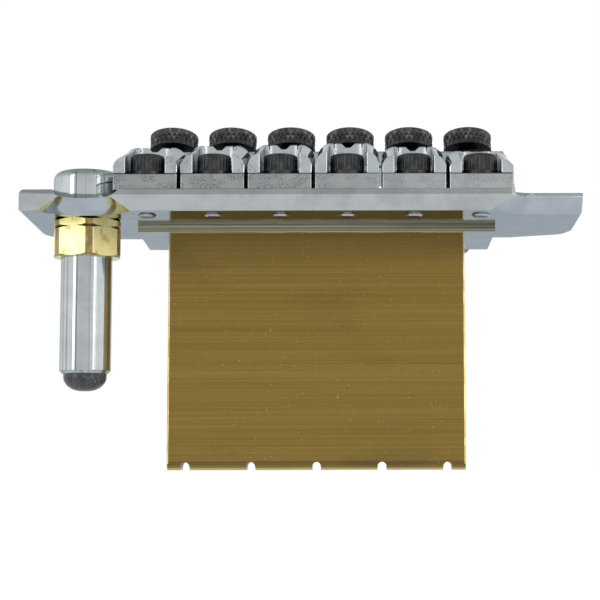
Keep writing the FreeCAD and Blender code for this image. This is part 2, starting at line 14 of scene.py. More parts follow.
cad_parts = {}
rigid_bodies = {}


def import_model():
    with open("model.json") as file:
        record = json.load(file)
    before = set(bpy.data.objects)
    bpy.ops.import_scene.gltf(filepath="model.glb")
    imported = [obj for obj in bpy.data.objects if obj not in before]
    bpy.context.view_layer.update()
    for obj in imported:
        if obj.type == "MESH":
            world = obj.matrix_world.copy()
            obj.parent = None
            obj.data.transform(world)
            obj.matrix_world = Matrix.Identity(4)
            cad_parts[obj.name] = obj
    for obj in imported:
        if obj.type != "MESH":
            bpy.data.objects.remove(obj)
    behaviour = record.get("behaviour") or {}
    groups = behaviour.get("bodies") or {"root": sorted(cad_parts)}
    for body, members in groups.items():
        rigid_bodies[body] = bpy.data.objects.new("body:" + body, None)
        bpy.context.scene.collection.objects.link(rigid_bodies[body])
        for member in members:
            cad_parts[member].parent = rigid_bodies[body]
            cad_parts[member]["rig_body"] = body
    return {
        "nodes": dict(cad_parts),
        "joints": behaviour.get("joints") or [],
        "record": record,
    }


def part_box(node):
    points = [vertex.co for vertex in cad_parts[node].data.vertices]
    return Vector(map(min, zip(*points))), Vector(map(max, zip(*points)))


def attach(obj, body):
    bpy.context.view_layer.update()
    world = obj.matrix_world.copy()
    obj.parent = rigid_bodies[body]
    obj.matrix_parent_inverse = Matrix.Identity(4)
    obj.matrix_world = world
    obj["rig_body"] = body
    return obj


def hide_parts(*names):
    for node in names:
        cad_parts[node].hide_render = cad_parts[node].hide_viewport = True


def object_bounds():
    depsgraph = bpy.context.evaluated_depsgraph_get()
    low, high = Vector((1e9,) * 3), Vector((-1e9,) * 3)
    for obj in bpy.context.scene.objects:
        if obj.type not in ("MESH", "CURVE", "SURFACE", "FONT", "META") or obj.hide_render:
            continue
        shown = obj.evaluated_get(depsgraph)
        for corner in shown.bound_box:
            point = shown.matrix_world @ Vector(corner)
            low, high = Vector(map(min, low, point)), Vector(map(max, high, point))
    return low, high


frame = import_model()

MM = 0.001
cad_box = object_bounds()
nodes = frame["nodes"]
joints = {joint["name"]: joint for joint in frame["joints"]}
mounts = {mount["name"]: mount for mount in frame["record"]["mounts"]}
strings = [str(n) for n in range(1, 7)]
print("frame:", len(nodes), "nodes,", len(joints), "joints, box in mm",
      [[round(c / MM, 1) for c in corner] for corner in cad_box])

# %% [markdown]
# ## Levels to refer to
# Some finishes begin or end at an edge of the model, such as the foot of the block or the front of the pad.
# Those levels get their names here, so that the recipes below can be read.

# %% Levels
block_low, block_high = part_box("sustain_block")
block_foot = block_low.z
foot_band = block_foot + 1.19 * MM
# The block's bottom rim gets a painted highlight between these two heights.
rim_glint_full, rim_glint_end = block_foot + 0.23 * MM, block_foot + 0.53 * MM
bevel_low, bevel_high = block_foot + 0.35 * MM, block_foot + 1.35 * MM
bevel_end = block_high.x - 0.25 * MM
pad_front = 15.07 * MM
plate_under = -2.40 * MM
# The painted shade on the saddle side walls facing a neighbour fades out between these two heights.
gap_shade_full, gap_shade_end = 4.9 * MM, 5.3 * MM
print("block foot at", round(block_foot / MM, 2), "mm, pad front at", round(pad_front / MM, 2), "mm")

# %% [markdown]
# ## The camera
# The camera stands on the neck side with a long lens, a little below the plate. The lens looks up by a few
# degrees, and the picture is cropped off centre, so the camera has a sideways shift as well.

# %% Camera
lens_data = bpy.data.cameras.new("camera")
lens_data.lens = 94.2
lens_data.sensor_width = 36.0
lens_data.shift_x = -0.1194
camera = bpy.data.objects.new("camera", lens_data)
camera.location = (9.31 * MM, -248.7 * MM, -41.37 * MM)
look_up = math.radians(90 + 5.705)
roll = math.radians(-0.12)
camera.matrix_world = (Matrix.Translation(camera.location) @ Matrix.Rotation(look_up, 4, "X")
                       @ Matrix.Rotation(roll, 4, "Z"))
bpy.context.scene.collection.objects.link(camera)
bpy.context.scene.camera = camera
bpy.context.scene.view_settings.view_transform = "Standard"
print("camera at", [round(c / MM, 1) for c in camera.location], "mm")

# %% [markdown]
# ## Shader maths that reads like maths
# Node trees built in Python soon become long lists of links. One small class wraps a socket, so that a sum
# or a product of two wires adds the Math node for it, and one method makes every other kind of node.

# %% A wire is one shader socket


class Wire:
    """One output socket of a node tree; sums, differences and products add Math nodes."""

    def __init__(self, tree, socket=None):
        self.tree = tree
        self.socket = socket

    def node(self, kind, settings=None, sockets=None, out=0):
        """Makes a node: first its settings, then the values or links of its sockets."""
        made = self.tree.nodes.new("ShaderNode" + kind)
        for key, value in (settings or {}).items():
            setattr(made, key, value)
        for key, value in (sockets or {}).items():
            if isinstance(value, Wire):
                self.tree.links.new(value.socket, made.inputs[key])
            else:
                made.inputs[key].default_value = value
        return Wire(self.tree, made.outputs[out] if made.outputs else None)

    def math(self, operation, first, second=0.0):
        return self.node("Math", {"operation": operation}, {0: first, 1: second})

    def __add__(self, other):
        return self.math("ADD", self, other)

    __radd__ = __add__

    def __mul__(self, other):
        return self.math("MULTIPLY", self, other)

    __rmul__ = __mul__

    def __sub__(self, other):
        return self.math("SUBTRACT", self, other)

    def __rsub__(self, other):
        return self.math("SUBTRACT", other, self)

    def __abs__(self):
        return self.math("ABSOLUTE", self)


def axes_of(place):
    """The X, Y and Z of a position, as three wires in metres."""
    parts = place.node("SeparateXYZ", sockets={"Vector": place}).socket.node
    return [Wire(place.tree, socket) for socket in parts.outputs]


def ease(value, start, end, low=0.0, high=1.0):
    """A soft step: low before start, high after end."""
    return value.node("MapRange", {"interpolation_type": "SMOOTHSTEP"},
                      {"Value": value, "From Min": start, "From Max": end, "To Min": low, "To Max": high})


def grain(place, size, stretch=(1, 1, 1), detail=2.0):
    """Clouds about size mm wide, made longer along an axis by stretch."""
    scale = [1 / (MM * size * s) for s in stretch]
    spot = place.node("Mapping", sockets={"Vector": place, "Scale": scale})
    return place.node("TexNoise", sockets={"Vector": spot, "Scale": 1.0, "Detail": detail})


def spots(place, spacing, radius, stretch=(1, 1, 1)):
    """Round specks, one in each cell of spacing mm: 1 on a speck, 0 off it."""
    scale = [1 / (MM * spacing * s) for s in stretch]
    cell = place.node("Mapping", sockets={"Vector": place, "Scale": scale})
    distance = place.node("TexVoronoi", sockets={"Vector": cell, "Scale": 1.0})
    return ease(distance, radius / spacing * 0.6, radius / spacing, 1.0, 0.0)


def blend_colours(mask, off, on):
    """off where mask is 0, on where it is 1."""
    pair = {6: off if isinstance(off, Wire) else (*off, 1), 7: on if isinstance(on, Wire) else (*on, 1)}
    return mask.node("Mix", {"data_type": "RGBA"}, {0: mask, **pair}, out=2)


def relief(height, depth):
    """A bump whose full height is depth mm."""
    return height.node("Bump", sockets={"Height": height, "Distance": depth * MM, "Strength": 1.0})


def finish(name, recipe):
    """A material whose Principled sockets are what recipe returns for the Object coordinates."""
    material = bpy.data.materials.new(name)
    material.use_nodes = True
    tree = material.node_tree
    tree.nodes.clear()
    place = Wire(tree).node("TexCoord", out="Object")
    shader = place.node("BsdfPrincipled", sockets=recipe(place))
    place.node("OutputMaterial", sockets={"Surface": shader})
    print("finish", name, "with", len(tree.nodes), "nodes")
    return material


# %% [markdown]
# ## A plain white studio
# Polished metal has no look of its own: it shows the room. The room here is white at the horizon and greyer
# overhead, and the side behind the camera is greyer too, which gives the front faces their middle grey.
# Camera rays see plain white, so the background is white without any more light on the object.

# %% World
world = bpy.data.worlds.new("studio")
bpy.context.scene.world = world
world.use_nodes = True
world.node_tree.nodes.clear()
sky = Wire(world.node_tree).node("TexCoord", out="Generated")
towards_y, towards_z = axes_of(sky)[1:]
overhead = ease(towards_z, 0.12, 0.95, 1.0, 0.42)
behind_camera = ease(towards_y, -0.97, -0.62, 0.74, 1.0)
ray = sky.node("LightPath").socket.node
is_camera = Wire(sky.tree, ray.outputs["Is Camera Ray"])
is_glossy = Wire(sky.tree, ray.outputs["Is Glossy Ray"])
room = is_glossy * (overhead * behind_camera) + (1 - is_glossy) * 0.8
strength = is_camera + (1 - is_camera) * room
background = sky.node("Background", sockets={"Color": (1, 1, 1, 1), "Strength": strength})
sky.node("OutputWorld", sockets={"Surface": background})
print("world: white for the camera, graded for metal")

# %% [markdown]
# ## Two strip lights and a pale floor
# The tube and the cap of the arm socket each show two upright white stripes. Those are the reflections of
# two tall softboxes, left and right of the camera. Area lights give both the light and the reflection.
# The floor is far enough below that its shadow stays soft; the camera sees it as white and keeps the shadow.

# %% Strip lights
strip_wide, strip_tall, strip_far = 0.12, 0.5, 0.6
strip_glow = 1.8
for side, turn in (("left", -48), ("right", 48)):
    strip_data = bpy.data.lights.new("strip_" + side, "AREA")
    strip_data.shape = "RECTANGLE"
    strip_data.size = strip_wide
    strip_data.size_y = strip_tall
    strip_data.energy = strip_glow * math.pi * strip_wide * strip_tall
    strip = bpy.data.objects.new("strip_" + side, strip_data)
    angle = math.radians(turn)
    away = Vector((math.sin(angle), -math.cos(angle), 0.12))
    strip.location = away * strip_far
    strip.rotation_euler = away.to_track_quat("Z", "Y").to_euler()
    strip.visible_camera = False
    bpy.context.scene.collection.objects.link(strip)
print("two strips of", strip_wide, "by", strip_tall, "m")

# %% Floor
floor_drop = 50 * MM
floor_mesh = bpy.data.meshes.new("floor")
sheet = bmesh.new()
bmesh.ops.create_grid(sheet, x_segments=1, y_segments=1, size=4.0,
                      matrix=Matrix.Translation((0, 0, cad_box[0].z - floor_drop)))
sheet.to_mesh(floor_mesh)
sheet.free()
floor = bpy.data.objects.new("floor", floor_mesh)
bpy.context.scene.collection.objects.link(floor)
paper = bpy.data.materials.new("floor_paper")
paper.use_nodes = True
paper.node_tree.nodes.clear()
start = Wire(paper.node_tree)
ray = start.node("LightPath").socket.node
is_camera = Wire(start.tree, ray.outputs["Is Camera Ray"])
plain = start.node("BsdfDiffuse", sockets={"Color": (0.84, 0.88, 0.94, 1)})
pale = start.node("BsdfDiffuse", sockets={"Color": (0.75, 0.75, 0.75, 1)})
lift = start.node("Emission", sockets={"Color": (1, 1, 1, 1), "Strength": 0.45})
white = start.node("AddShader", sockets={0: pale, 1: lift})
seen = start.node("MixShader", sockets={0: is_camera, 1: plain, 2: white})
start.node("OutputMaterial", sockets={"Surface": seen})
floor_mesh.materials.append(paper)
print("floor", round(floor_drop / MM), "mm below the block")

# %% [markdown]
# ## Chrome
# Plating is never a perfect mirror: it has slow clouds of haze, polishing lines and a few pits. The recipe
# is shared, and each part of the bridge asks for its own amount. The saddles carry the most wear, on the
# faces that look towards the neck, where sweat and strings reach them.

# %% Chrome finishes
chrome_tint = (0.60, 0.645, 0.655)
chrome_dull = (0.50, 0.54, 0.555)
chrome_pit = (0.10, 0.105, 0.11)


def chrome(place, wear, wear_mask=None, cover=0.0):
    """Sockets of a chrome plating with this much wear; the mask says where the pits gather."""
    haze = grain(place, 4.0, detail=3.0)
    scratch = ease(grain(place, 0.16, (14, 1, 1), detail=3.0), 0.60, 0.74)
    patch = ease(grain(place, 1.7, (1.8, 1, 1), detail=4.0), 0.44 - cover, 0.58 - cover)
    pits = ease(grain(place, 0.22, detail=3.0), 0.50 - cover, 0.60 - cover) * patch * wear
    if wear_mask is not None:
        pits = pits * wear_mask
    colour = blend_colours(ease(haze, 0.35, 0.75), chrome_tint, chrome_dull)
    colour = blend_colours(pits, colour, chrome_pit)
    roughness = 0.045 + haze * 0.05 + scratch * 0.05 + pits * 0.35
    return {"Base Color": colour, "Metallic": 1.0, "Roughness": roughness,
            "Specular Tint": (0.60, 0.63, 0.65, 1.0),
            "Normal": relief(haze * 0.5 + scratch * 0.05 - pits * 1.2, 0.006)}


def saddle_recipe(place):
    x, y = axes_of(place)[:2]
    front = ease(y, 0.5 * MM, 1.1 * MM, 1.0, 0.12)
    treble = ease(x, -14 * MM, 6 * MM, 1.0, 0.22)
    return chrome(place, 0.6, front * treble)


def foot_recipe(place):
    """The saddle feet are duller and more pitted towards the treble side."""
    x = axes_of(place)[0]
    sockets = chrome(place, 1.0, ease(x, -14 * MM, 14 * MM, 1.0, 0.35), cover=0.025)
    dull = ease(x, -12 * MM, 26 * MM, 0.62, 0.30)
    sockets["Base Color"] = blend_colours(dull, sockets["Base Color"], (0.28, 0.30, 0.305))
    return sockets


def gap_recipe(place):
    """Painted shade in the narrow gaps between the saddles, less above the shoulders on the treble side."""
    x, _, z = axes_of(place)
    cloud = grain(place, 0.8, detail=4.0)
    # Painted shade: near-black clouds on the side walls that face the next saddle, fading out above the
    # shoulders on the treble side.
    gap_shade_colour = blend_colours(cloud, (0.030, 0.030, 0.042), (0.10, 0.10, 0.12))
    gap_unshaded = ease(z, gap_shade_full, gap_shade_end) * ease(x, -2 * MM, 8 * MM, 1.0, 0.0)
    return {"Base Color": blend_colours(gap_unshaded, gap_shade_colour, (0.72, 0.75, 0.76)), "Metallic": 1.0,
            "Roughness": 0.35 + cloud * 0.2, "Normal": relief(cloud, 0.01)}


def plate_recipe(place):
    """Polished plate; the pad's front edge below it has milling lines over a painted brass-brown shade."""
    y, z = axes_of(place)[1:]
    sockets = chrome(place, 0.10)
    below = ease(z, plate_under - 0.03 * MM, plate_under, 1.0, 0.0)
    edge = ease(abs(y - pad_front), 0.05 * MM, 0.12 * MM, 1.0, 0.0) * below
    cuts = ease(grain(place, 0.09, (900, 1, 1), detail=2.0), 0.40, 0.60)
    # Painted shade: the pad's front face below the plate is coloured dark brass-brown, striped with milling
    # lines.
    pad_shade_and_milling = blend_colours(cuts, (0.17, 0.145, 0.085), (0.64, 0.58, 0.40))
    sockets["Base Color"] = blend_colours(edge, sockets["Base Color"], pad_shade_and_milling)
    sockets["Roughness"] = sockets["Roughness"] + edge * 0.22
    return sockets


def satin_recipe(place):
    sockets = chrome(place, 0.3)
    sockets["Roughness"] = sockets["Roughness"] + 0.26
    return sockets


def arm_recipe(place):
    """Mirror plating over a drawn tube, whose fine lines run along it."""
    sockets = chrome(place, 0.08)
    drawn = ease(grain(place, 0.55, (1, 1, 300), detail=3.0), 0.54, 0.68)
    sockets["Base Color"] = blend_colours(drawn * 0.75, sockets["Base Color"], (0.16, 0.165, 0.175))
    return sockets


plate_chrome = finish("plate_chrome_polished", plate_recipe)
saddle_chrome = finish("saddle_chrome_worn", saddle_recipe)
saddle_satin = finish("saddle_chrome_satin", satin_recipe)
foot_chrome = finish("foot_chrome_pitted", foot_recipe)
# Painted shade for the saddle side walls that face each other.
gap_painted_shade = finish("saddle_gap_grime", gap_recipe)
arm_chrome = finish("arm_chrome_mirror", arm_recipe)

# %% [markdown]
# ## Brass
# The sustain block is a sawn and brushed bar, so its lines run along its length; the tarnish has dulled it,
# and handling has rubbed its edges bright, with a painted highlight on them too. The two nuts of the arm
# socket are turned from the same metal but kept their polish, with a few brown spots.

# %% Brass finishes
brass_brushed = (0.340, 0.231, 0.062)
brass_line = (0.258, 0.168, 0.042)
brass_brown = (0.150, 0.098, 0.040)
# Light brass for specks and nicks, and for the painted highlight on the block's bottom rim.
brass_speck_and_glint = (0.78, 0.60, 0.26)
brass_bright = (1.0, 0.87, 0.42)
brass_spot = (0.50, 0.33, 0.07)


def block_recipe(place):
    z = axes_of(place)[2]
    brush = grain(place, 0.20, (260, 6, 1), detail=5.0)
    band = grain(place, 2.6, (30, 3, 1), detail=2.0)
    tarnish = ease(grain(place, 9.0, (2.2, 1, 0.7), detail=3.0), 0.52, 0.72)
    # Painted shade: darker brown towards the top of the block, below the plate.
    top = ease(z, -13 * MM, -4 * MM, 0.0, 0.45)
    foot = ease(abs(z - foot_band), 0.18 * MM, 0.50 * MM, 0.60, 0.0)
    # Painted highlight: a bright band along the block's bottom edge.
    rim = ease(z, rim_glint_full, rim_glint_end, 0.9, 0.0)
    hair = ease(grain(place, 0.16, (900, 2, 1), detail=0.0), 0.74, 0.80)
    colour = blend_colours(ease(brush * 0.75 + band * 0.25, 0.26, 0.70), brass_line, brass_brushed)
    colour = blend_colours(tarnish * 0.2 + top * 0.7 + foot, colour, brass_brown)
    colour = blend_colours(rim, colour, brass_speck_and_glint)
    colour = blend_colours(hair * 0.6, colour, brass_brown)
    specks = spots(place, 0.7, 0.085) * ease(grain(place, 3.0), 0.42, 0.54)
    nicks = spots(place, 2.6, 0.12, (1, 1, 2.6)) * ease(grain(place, 5.0), 0.50, 0.60)
    colour = blend_colours(specks * 0.75 + nicks * 0.5, colour, brass_speck_and_glint)
    return {"Base Color": colour, "Metallic": 1.0, "Roughness": 0.30 + brush * 0.14 + tarnish * 0.08,
            "Normal": relief(brush, 0.004)}


# Bright rubbed brass for the block's edges, which also serves as a painted highlight there.
def rubbed_recipe(place):
    worn = grain(place, 0.7, (4, 1, 4), detail=3.0)
    return {"Base Color": blend_colours(ease(worn, 0.35, 0.65), (0.62, 0.46, 0.13), (0.92, 0.74, 0.31)),
            "Metallic": 1.0, "Roughness": 0.16 + worn * 0.14, "Normal": relief(worn, 0.004)}


def nut_recipe(place):
    cloud = grain(place, 2.4, detail=4.0)
    brown = ease(grain(place, 1.6, (1, 1, 1.6), detail=5.0), 0.56, 0.72)
    turned = grain(place, 0.14, (30, 30, 1), detail=2.0)
    dots = spots(place, 0.9, 0.10) * ease(grain(place, 1.5), 0.48, 0.60)
    colour = blend_colours(ease(cloud, 0.35, 0.7), brass_bright, (0.95, 0.78, 0.32))
    colour = blend_colours(brown * 0.7, colour, brass_spot)
    colour = blend_colours(dots * 0.8, colour, (0.13, 0.09, 0.03))
    return {"Base Color": colour, "Metallic": 1.0, "Roughness": 0.24 + turned * 0.08 + brown * 0.12,
            "Normal": relief(turned * 0.4 + cloud, 0.006)}


# Painted shade for the nut corners and chamfers: dark, dull brown brass.
def corner_recipe(place):
    cloud = grain(place, 0.8, (1, 1, 2), detail=4.0)
    return {"Base Color": blend_colours(ease(cloud, 0.35, 0.7), (0.30, 0.20, 0.06), (0.52, 0.38, 0.13)),
            "Metallic": 0.25, "Roughness": 0.30 + cloud * 0.1, "Normal": relief(cloud, 0.01)}


block_brass = finish("block_brass_brushed", block_recipe)
edge_brass_rubbed_and_glint = finish("block_brass_rubbed_edges", rubbed_recipe)
nut_brass = finish("nut_brass_polished", nut_recipe)
nut_corner_shade = finish("nut_brass_corners", corner_recipe)

# %% [markdown]
# ## Black steel, plain steel and plastic
# The screws are blackened in a hot salt bath, which leaves a dark skin that is a little rough and rubs
# grey where tools touch it. The hidden steel parts are plain, and the plug and the bush are moulded.

# %% Steel and plastic finishes


def black_recipe(shade, rough):
    def recipe(place):
        cloud = grain(place, 1.2, detail=4.0)
        rub = ease(grain(place, 0.35, detail=4.0), 0.58, 0.75)
        colour = blend_colours(ease(cloud, 0.35, 0.7), (shade, shade, shade * 1.06),
                               (shade * 1.6, shade * 1.6, shade * 1.7))
        colour = blend_colours(rub * 0.5, colour, (0.17, 0.17, 0.175))
        return {"Base Color": colour, "Metallic": 1.0, "Roughness": rough + cloud * 0.14,
                "Normal": relief(cloud + rub * 0.4, 0.010)}
    return recipe


def steel_recipe(dark, pale, rough, lines):
    def recipe(place):
        drawn = grain(place, 0.12, lines, detail=3.0)
        cloud = grain(place, 2.0, detail=3.0)
        colour = blend_colours(ease(drawn * 0.5 + cloud * 0.5, 0.35, 0.65), dark, pale)
        return {"Base Color": colour, "Metallic": 1.0, "Roughness": rough + drawn * 0.12,
                "Normal": relief(drawn, 0.004)}
    return recipe


def plug_recipe(place):
    cloud = grain(place, 1.4, detail=4.0)
    grit = ease(grain(place, 0.18, detail=3.0), 0.52, 0.68)
    scuff = ease(grain(place, 0.5, detail=5.0), 0.60, 0.72)
    colour = blend_colours(ease(cloud, 0.35, 0.7), (0.028, 0.028, 0.027), (0.080, 0.080, 0.076))
    colour = blend_colours(grit * 0.3 + scuff * 0.6, colour, (0.34, 0.34, 0.32))
    return {"Base Color": colour, "Metallic": 0.0, "Roughness": 0.20 + grit * 0.3,
            "Normal": relief(cloud + grit * 0.3, 0.04)}


def bush_recipe(place):
    cloud = grain(place, 1.5, detail=3.0)
    turned = grain(place, 0.2, (20, 20, 1), detail=2.0)
    colour = blend_colours(ease(cloud, 0.3, 0.7), (0.74, 0.74, 0.71), (0.84, 0.84, 0.82))
    return {"Base Color": colour, "Metallic": 0.0, "Roughness": 0.38 + turned * 0.12,
            "Normal": relief(turned, 0.006)}


black_steel = finish("black_steel_oxide", black_recipe(0.050, 0.33))
knob_steel = finish("knob_steel_oxide", black_recipe(0.062, 0.20))
# Painted shade: a near-black copy of the oxide for the knob undersides.
knob_underside_shade = finish("knob_underside_oxide", black_recipe(0.008, 0.50))
pin_steel = finish("pin_steel_ground",
                   steel_recipe((0.44, 0.44, 0.46), (0.62, 0.62, 0.64), 0.18, (1, 20, 20)))
clamp_steel = finish("clamp_steel_hardened",
                     steel_recipe((0.17, 0.17, 0.18), (0.30, 0.30, 0.32), 0.30, (8, 1, 8)))
spring_steel = finish("spring_steel_rolled",
                      steel_recipe((0.36, 0.37, 0.39), (0.54, 0.55, 0.57), 0.22, (12, 1, 1)))
plug_dark = finish("plug_moulded", plug_recipe)
bush_plastic = finish("bush_moulded", bush_recipe)

# %% [markdown]
# ## Measuring a node
# A piece that stands for a CAD node must sit exactly where the node is. These helpers give the matrix that
# stands a shape on an axis, and read the levels and widths of a round node about that axis.

# %% Helpers for places and sizes


def stand(centre, axis):
    """The matrix that puts local Z on this axis, with the centre as its origin."""
    turn = Vector(axis).normalized().to_track_quat("Z", "Y").to_matrix().to_4x4()
    return Matrix.Translation(Vector(centre)) @ turn


def rings(node, place):
    """Pairs of radius and level, one for each level at which the node has vertices, from low to high."""
    back = place.inverted()
    widest = {}
    for vertex in nodes[node].data.vertices:
        point = back @ vertex.co
        level = round(point.z, 6)
        widest[level] = max(widest.get(level, 0.0), math.hypot(point.x, point.y))
    return [(widest[level], level) for level in sorted(widest)]


def settle(shape, name, node, materials, sharp=32):
    """Turns a bmesh into a piece that stands for a node: same body, smooth shading."""
    mesh = bpy.data.meshes.new(name)
    shape.to_mesh(mesh)
    shape.free()
    mesh.shade_smooth()
    mesh.set_sharp_from_angle(angle=math.radians(sharp))
    piece = bpy.data.objects.new(name, mesh)
    bpy.context.scene.collection.objects.link(piece)
    for material in materials:
        mesh.materials.append(material)
    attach(piece, nodes[node]["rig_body"])
    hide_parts(node)
    return piece


# %% [markdown]
# ## Machined pieces with broken edges
# No machined edge is perfectly sharp, and on chrome the thin rounded edge is what catches the light. We
# copy a CAD mesh, merge its loose triangles, join the flat ones again and bevel only the long sharp edges.
# Weighted normals then keep the flat faces flat.

# %% Rules for machined pieces
bevel_angle = math.radians(24)
seat_x, seat_y, seat_slope = -36.5 * MM, -5.2 * MM, 3.0 / 2.4
seat_within, large_face = 0.03 * MM, 12 * MM * MM
side_from, outer_side = 4.5 * MM, 30 * MM
pocket_half, pocket_rear = 3.3 * MM, 11.5 * MM
corner_least, corner_most = 0.9 * MM, 1.7 * MM


def broken_edges(node, width, longer_than=0.8):
    """A copy of the node with its long convex edges rounded by width mm, and the new faces."""
    shape = bmesh.new()
    shape.from_mesh(nodes[node].data)
    bmesh.ops.remove_doubles(shape, verts=shape.verts, dist=0.002 * MM)
    bmesh.ops.dissolve_limit(shape, angle_limit=math.radians(0.4), verts=shape.verts, edges=shape.edges)
    edges = [edge for edge in shape.edges if edge.is_manifold and edge.is_convex
             and edge.calc_face_angle() > bevel_angle
             and edge.calc_length() > longer_than * MM]
    made = bmesh.ops.bevel(shape, geom=edges, offset=width * MM, offset_type="OFFSET", segments=2,
                           profile=0.5, affect="EDGES", clamp_overlap=False, material=-1)
    return shape, made["faces"]


def keep_flat(piece):
    """Weighted normals, which keep the flat faces flat beside their rounded edges."""
    piece.modifiers.new("flat_faces", "WEIGHTED_NORMAL").keep_sharp = True


def machined(node, width, material):
    shape, faces = broken_edges(node, width)
    piece = settle(shape, node + "_finished", node, [material])
    keep_flat(piece)
    print(node, len(piece.data.polygons), "faces,", len(faces), "on broken edges")


def saddle(node, middle, polish):
    """A saddle or its foot: painted shade on the side walls facing a neighbour, satin walls in the screw
    pocket, the rest polished.
    """
    shape = broken_edges(node, 0.17)[0]
    # Material 2 is painted shade on the side walls that face a neighbouring saddle; the outer sides of the
    # end saddles stay polished.
    for face in shape.faces:
        centre = face.calc_center_median()
        off = abs(centre.x - middle)
        if abs(face.normal.x) > 0.95 and off > side_from and abs(centre.x) < outer_side:
            face.material_index = 2
        elif "body" in node and abs(face.normal.z) < 0.2 and off < pocket_half:
            face.material_index = int(centre.y < pocket_rear)
    keep_flat(settle(shape, node + "_finished", node, [polish, saddle_satin, gap_painted_shade], sharp=22))


def seat_normals(piece):
    """Flat faces keep their own normal, and the conical seat gets the normals of the true cone."""
    mesh = piece.data
    normals = [corner.vector.copy() for corner in mesh.corner_normals]
    cone_faces = 0
    for face in mesh.polygons:
        points = [mesh.vertices[index].co for index in face.vertices]
        off = [math.hypot(p.x - seat_x, p.y - seat_y) + seat_y + seat_slope * p.z for p in points]
        on_cone = max(abs(o) for o in off) < seat_within and -0.95 < face.normal.z < -0.3
        cone_faces += on_cone
        for loop, point in zip(face.loop_indices, points):
            x, y = point.x - seat_x, point.y - seat_y
            if on_cone:
                normals[loop] = -Vector((x, y, seat_slope * math.hypot(x, y))).normalized()
            elif face.area > large_face:
                normals[loop] = face.normal.copy()
    mesh.normals_split_custom_set(normals)
    print("seat:", cone_faces, "faces on the cone")


def hex_nut(node):
    """A nut whose narrow corner faces and chamfers carry a painted brown shade."""
    shape = broken_edges(node, 0.06)[0]
    for face in shape.faces:
        wide = max((a.co - b.co).xy.length for a in face.verts for b in face.verts)
        corner = abs(face.normal.z) < 0.3 and corner_least < wide < corner_most
        chamfer = 0.35 < abs(face.normal.z) < 0.95 and (face.normal.z < 0 or node == "arm_hex_nut")
        face.material_index = int(corner or chamfer)
    piece = settle(shape, node + "_finished", node, [nut_brass, nut_corner_shade])
    keep_flat(piece)
    print(node, len(piece.data.polygons), "faces")


# %% Plate, tuner bridge, block, saddles and nuts
plate_shape = broken_edges("base_plate", 0.12, longer_than=2.0)[0]
seat_normals(settle(plate_shape, "base_plate_finished", "base_plate", [plate_chrome]))
machined("tuner_bridge", 0.15, plate_chrome)
block_shape, block_edges = broken_edges("sustain_block", 0.12)
# Rounded edges other than the bottom bevel get the bright rubbed brass, also a painted highlight.
for face in block_edges:
    centre = face.calc_center_median()
    on_bevel = bevel_low < centre.z < bevel_high and abs(centre.x) < bevel_end
    face.material_index = 0 if on_bevel else 1
keep_flat(settle(block_shape, "sustain_block_finished", "sustain_block", [block_brass, edge_brass_rubbed_and_glint]))
hex_nut("arm_lock_nut")
hex_nut("arm_hex_nut")
for n in strings:
    string_x = joints["tuner_turn_" + n]["pos_m"][0]
    saddle("saddle_foot_" + n, string_x, foot_chrome)
    saddle("saddle_body_" + n, string_x, saddle_chrome)
    machined("clamp_block_" + n, 0.12, clamp_steel)

# %% [markdown]
# ## Turned pieces of the arm socket
# The tube, the cap and the plug are lathe work, so they are spun: a half outline drawn once in the XZ plane
# and turned about Z. The outlines come from the rings of the CAD nodes, so the fit is exact.

# %% Tube, cap and plug


def lathe(outline, steps):
    """Spins an outline of (radius, height) pairs all the way round Z."""
    shape = bmesh.new()
    line = [shape.verts.new((radius, 0, height)) for radius, height in outline]
    runs = [shape.edges.new(pair) for pair in zip(line, line[1:])]
    bmesh.ops.spin(shape, geom=line + runs, cent=(0, 0, 0), axis=(0, 0, 1), angle=math.tau, steps=steps,
                   use_merge=True)
    bmesh.ops.remove_doubles(shape, verts=shape.verts, dist=0.0005 * MM)
    bmesh.ops.recalc_face_normals(shape, faces=shape.faces)
    return shape


socket = mounts["arm_socket"]
socket_place = stand((socket["pos_m"][0], socket["pos_m"][1], 0.0), (0, 0, 1))
socket_bore = socket["dims"]["r_mm"] * MM
lathe_steps = 96

tube = rings("arm_tube", socket_place)
tube_wall = 1.1 * MM
tube_inner = max(radius for radius, level in tube) - tube_wall
tube_outline = tube + [(tube_inner, tube[-1][1]), (tube_inner, tube[0][1]), tube[0]]
tube_shape = lathe(tube_outline, lathe_steps)
tube_shape.transform(socket_place)
settle(tube_shape, "arm_tube_turned", "arm_tube", [arm_chrome])

cap = rings("arm_cap", socket_place)
cap_seat = max(radius for radius, level in tube) + 0.02 * MM
cap_inside = tube[-1][1]
cap_outer = [pair for pair in cap if pair[0] > cap_seat + 0.1 * MM] + [cap[-1]]
cap_outline = cap_outer + [(socket_bore, cap[-1][1]), (socket_bore, cap_inside), (cap_seat, cap_inside),
                           (cap_seat, cap[0][1]), cap[0]]
cap_shape = lathe(cap_outline, lathe_steps)
cap_shape.transform(socket_place)
settle(cap_shape, "arm_cap_turned", "arm_cap", [arm_chrome])

plug = rings("arm_plug", socket_place)
plug_outline = [(0.0, plug[0][1])] + plug + [(0.0, plug[-1][1])]
plug_shape = lathe(plug_outline, lathe_steps // 2)
plug_shape.transform(socket_place)
settle(plug_shape, "arm_plug_moulded", "arm_plug", [plug_dark])
print("arm socket: tube", [[round(c / MM, 2) for c in pair] for pair in tube])
print("arm socket: cap", [[round(c / MM, 2) for c in pair] for pair in cap_outer])

# %% [markdown]
# ## Knurled fine-tuner knobs
# A knurling wheel presses crossed grooves into the rim, which leaves small pyramids. We spin the knob with
# a fine grid on its rim, push every second grid point inwards like the dark fields of a chessboard, and
# split each field between its two low corners, so that the grooves run straight and the high points become
# pyramids.

# %% Tuner knobs
knurl_count = 52
knurl_rows = 4
knurl_deep = 0.26 * MM
knob_hole = 2.05 * MM


